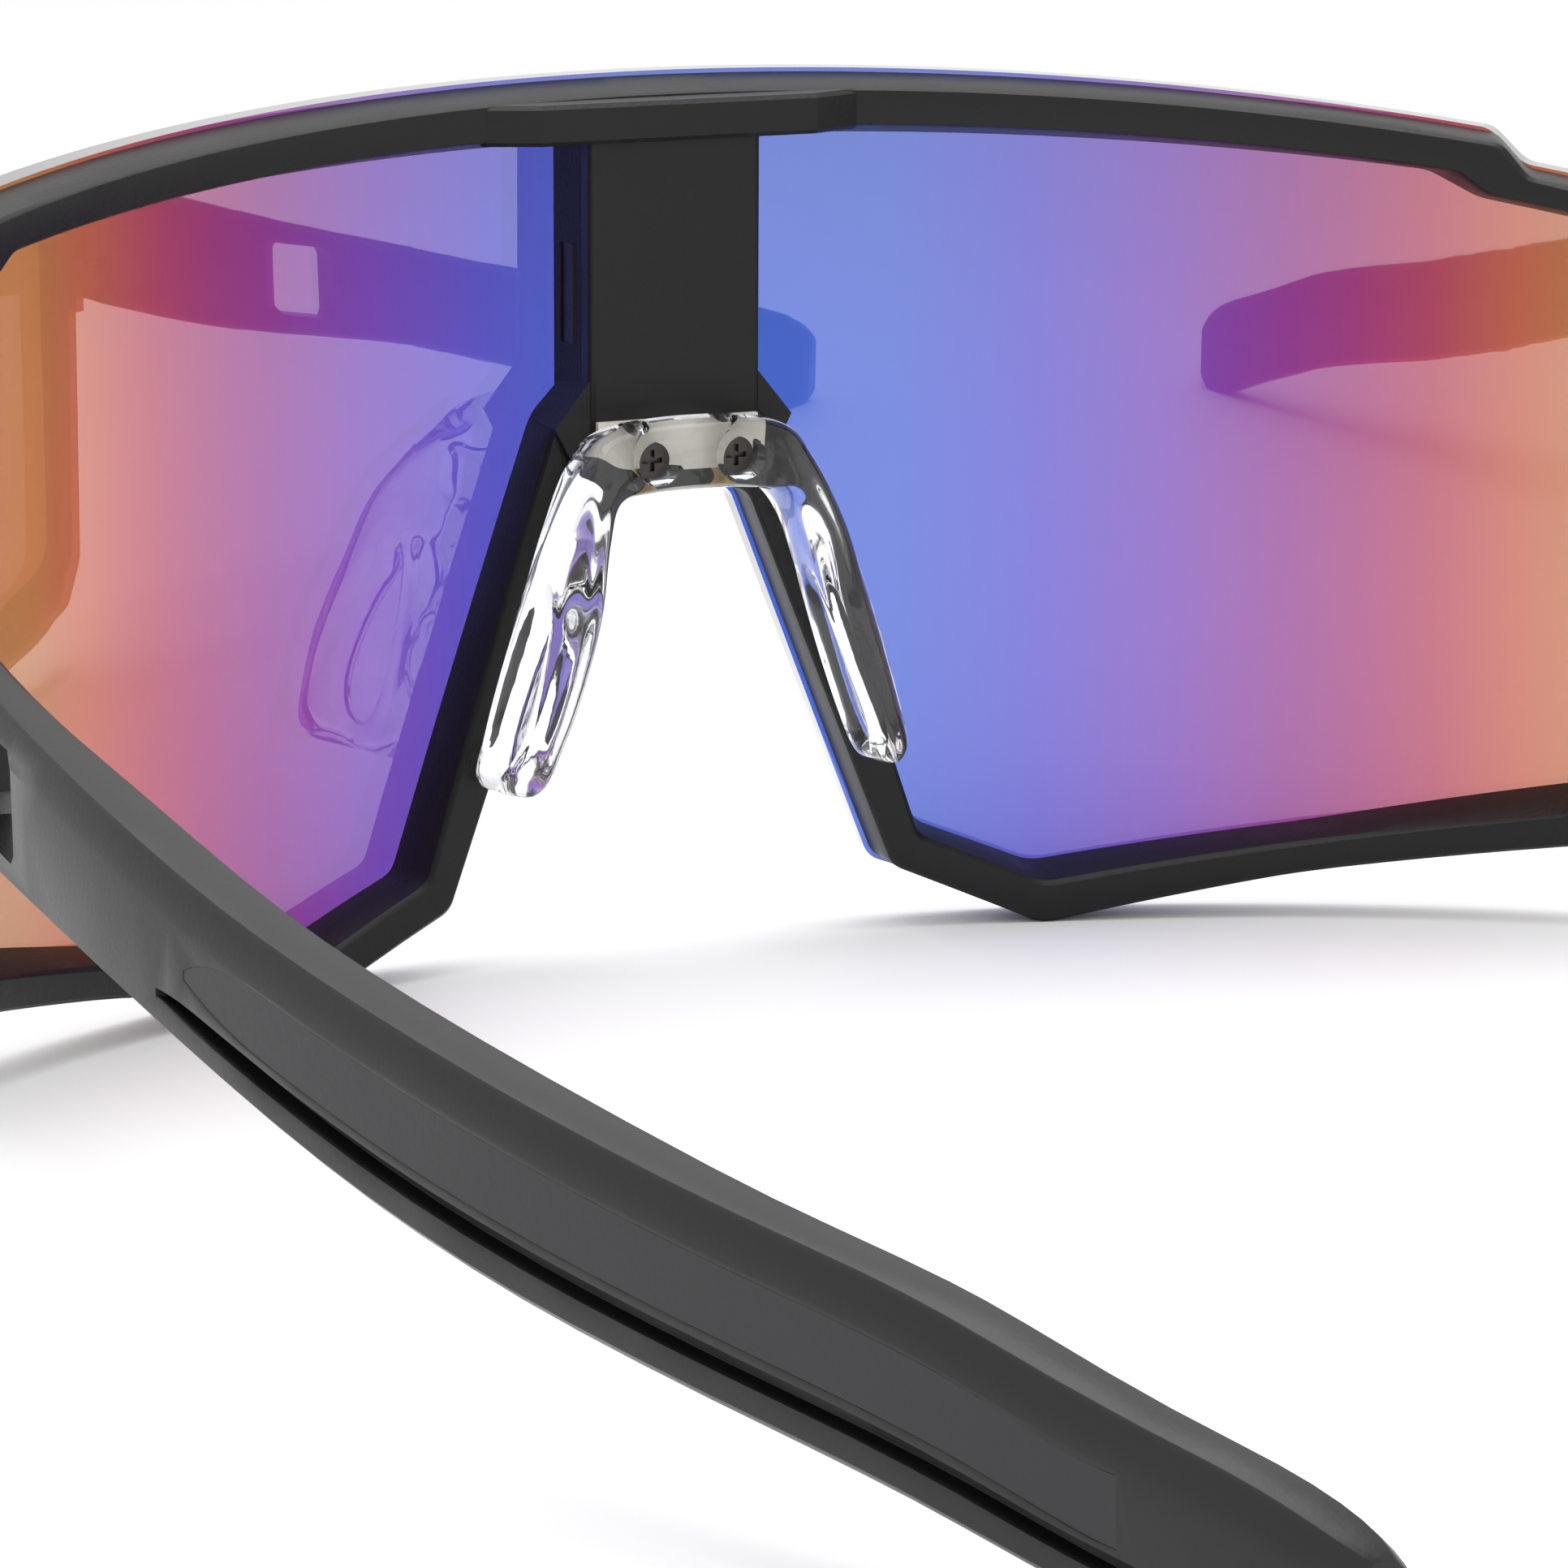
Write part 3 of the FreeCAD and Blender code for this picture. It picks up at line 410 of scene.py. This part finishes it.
# %% Nose pad surface
def pad_surface():
    """Points of the pad: a rounded square a(phi), b(phi) spread between four guides.

    a and b run over a superellipse of CORNER_POWER, so P = mix of the guides by a, b.
    The hollow moves side points towards the web by an egg-shaped mask, u^2 + t^2 < 1 with
    u across the arm and t along it, longer above its middle than below.  Each tip is
    rounded by shrinking its last rings about their centres, as sqrt(1 - (1 - q)^2).
    """
    rows = smooth_rows(PAD_GUIDES, ALONG)
    phi = np.arange(ROUND) / ROUND * 2 * math.pi
    power = 2 / CORNER_POWER
    a = np.sign(np.cos(phi)) * np.abs(np.cos(phi)) ** power
    b = np.sign(np.sin(phi)) * np.abs(np.sin(phi)) ** power
    along = np.linspace(-1.0, 1.0, ALONG)[:, None]
    arm = 1 - np.abs(along)

    depth = np.broadcast_to(b[None, :], (ALONG, ROUND))
    from_middle = arm - HOLLOW_MIDDLE
    hollow_along = from_middle / np.where(from_middle > 0, HOLLOW_ABOVE, HOLLOW_BELOW)
    field = np.hypot(depth / HOLLOW_WIDE, hollow_along)
    hollow = 1 - smoothstep(HOLLOW_EDGE, 1.0, field)
    border = np.exp(-((field - BORDER_PLACE) / BORDER_WIDE) ** 2)
    side = a[None, :] * (1 - HOLLOW_PRESS * hollow + BORDER_RISE * border)

    inner = (1 - side) / 2
    rear = (1 + depth) / 2
    point = np.zeros((ALONG, ROUND, 3))
    for column, axis in ((0, 0), (1, 2)):
        front_in, front_out = rows[:, [column]], rows[:, [column + 2]]
        rear_in, rear_out = rows[:, [column + 4]], rows[:, [column + 6]]
        front = front_in * inner + front_out * (1 - inner)
        back = rear_in * inner + rear_out * (1 - inner)
        point[..., axis] = front * (1 - rear) + back * rear
    point[..., 1] = PAD_FRONT * (1 - rear) + rows[:, [8]] * rear
    reached = np.clip(arm / TIP_STRETCH, 0.0, 1.0)
    share = TIP_LEAST + (1 - TIP_LEAST) * np.sqrt(1 - (1 - reached) ** 2)
    centre = point.mean(axis=1, keepdims=True)
    return front_to_world(centre + (point - centre) * share[..., None])


def clear_silicone():
    """Clear soft silicone: almost water-white, with faint streaks from the mould."""
    made, tree, shader = material("clear_silicone", IOR=1.41, Transmission_Weight=1.0)
    shader.inputs["Base Color"].default_value = (0.965, 0.975, 0.985, 1.0)
    with_grain(tree, shader, 700.0, 0.05, 0.03, 0.000006)
    return made


pad_finish = clear_silicone()
pad = mesh_piece("nose_pad_body", pad_surface(), tube_faces(ALONG, ROUND), pad_finish)
print("nose pad", len(pad.data.vertices), "points")

# %% [markdown]
# Two wells in the bridge let the screws' heads sit deep in the soft material.  Each is cut
# with a turned cutter whose profile is the shaft's hole and then the wider well.

# %% Wells over the pad screws
SCREW_ACROSS = 3.15
SCREW_UP = 35.9
SCREW_SEAT = 10.1
SHAFT_HOLE = 0.92
WELL_FLOOR = 1.5
WELL_MOUTH = 1.62
WELL_SIDES = 48


def turned(profile, centre, around=WELL_SIDES):
    """Closed surface of revolution about the front's Y axis: rows of (y, radius)."""
    turn = np.arange(around) / around * 2 * math.pi
    y = np.array([row[0] for row in profile])[:, None]
    radius = np.array([row[1] for row in profile])[:, None]
    point = np.stack([centre[0] + radius * np.cos(turn), np.broadcast_to(y, (len(profile), around)),
                      centre[1] + radius * np.sin(turn)], axis=-1)
    return front_to_world(point)


def cut_wells(piece):
    """Boolean cut of both wells, applied so that the piece stays a plain mesh."""
    profile = [(6.0, SHAFT_HOLE), (SCREW_SEAT, SHAFT_HOLE), (SCREW_SEAT, WELL_FLOOR),
               (13.6, WELL_MOUTH)]
    for side in (-1, 1):
        cutter = mesh_piece("well_cutter", turned(profile, (side * SCREW_ACROSS, SCREW_UP)),
                            tube_faces(len(profile), WELL_SIDES), pad_finish)
        trim = piece.modifiers.new("well", "BOOLEAN")
        trim.object = cutter
        trim.solver = "EXACT"
        bpy.context.view_layer.objects.active = piece
        bpy.ops.object.modifier_apply(modifier=trim.name)
        bpy.data.objects.remove(cutter)


cut_wells(pad)
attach(pad, "front")
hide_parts("nose_pad")

# %% [markdown]
# The table is a wide flat white sheet, and the light a large soft box overhead with a bright
# white room around it, the usual way to show a glossy product on white.

# %% Table
def white_table():
    """A wide matte white sheet just under the glasses."""
    made, tree, shader = material("white_table", Roughness=0.6)
    shader.inputs["Base Color"].default_value = (0.92, 0.92, 0.93, 1.0)
    half = 3.0
    corners = np.array([(-half, -half, 0), (half, -half, 0), (half, half, 0), (-half, half, 0)])
    sheet = mesh_piece("table", corners, [[0, 1, 2, 3]], made)


white_table()

# %% Light
def soft_box(name, size, power, place, aim):
    """A square area light that faces a point."""
    lamp = bpy.data.lights.new(name, "AREA")
    lamp.shape = "RECTANGLE"
    lamp.size, lamp.size_y = size
    lamp.energy = power
    holder = bpy.data.objects.new(name, lamp)
    holder.location = place
    direction = Vector(aim) - Vector(place)
    holder.rotation_euler = direction.to_track_quat("-Z", "Y").to_euler()
    bpy.context.scene.collection.objects.link(holder)


def white_room(strength):
    """An even white world."""
    world = bpy.data.worlds.new("white_room")
    world.use_nodes = True
    shade = world.node_tree.nodes["Background"]
    shade.inputs["Color"].default_value = (1.0, 1.0, 1.0, 1.0)
    shade.inputs["Strength"].default_value = strength
    bpy.context.scene.world = world


white_room(1.02)
soft_box("overhead", (0.9, 0.9), 6.0, (0.0, -0.1, 0.9), (0.0, 0.0, 0.0))
bpy.context.scene.view_settings.view_transform = "Standard"

# %% [markdown]
# The camera looks in from behind and a little to the wearer's left, from well back with a
# long lens, so that the near temple runs out of the picture and the far lens fills it.

# %% Camera
AZIMUTH = math.radians(23.77)
ELEVATION = math.radians(10.19)
ROLL = math.radians(-1.07)
DISTANCE = 0.4396
AIM = Vector((-0.01198, -0.0872, 0.00986))
SENSOR = 36.0
VIEW_ANGLE = math.radians(14.72)


def place_camera():
    """Camera at AIM + DISTANCE * back, turned by ROLL about its own axis."""
    back = Vector((math.sin(AZIMUTH) * math.cos(ELEVATION),
                   math.cos(AZIMUTH) * math.cos(ELEVATION), math.sin(ELEVATION)))
    level = Vector((-math.cos(AZIMUTH), math.sin(AZIMUTH), 0.0))
    up = back.cross(level)
    right = level * math.cos(ROLL) + up * math.sin(ROLL)
    above = up * math.cos(ROLL) - level * math.sin(ROLL)
    camera = bpy.data.cameras.new("camera")
    camera.sensor_width = SENSOR
    camera.lens = SENSOR / 2 / math.tan(VIEW_ANGLE / 2)
    camera.clip_start, camera.clip_end = 0.01, 20.0
    holder = bpy.data.objects.new("camera", camera)
    turn = Matrix((right, above, back)).transposed().to_4x4()
    holder.matrix_world = Matrix.Translation(AIM + back * DISTANCE) @ turn
    bpy.context.scene.collection.objects.link(holder)
    bpy.context.scene.camera = holder


place_camera()
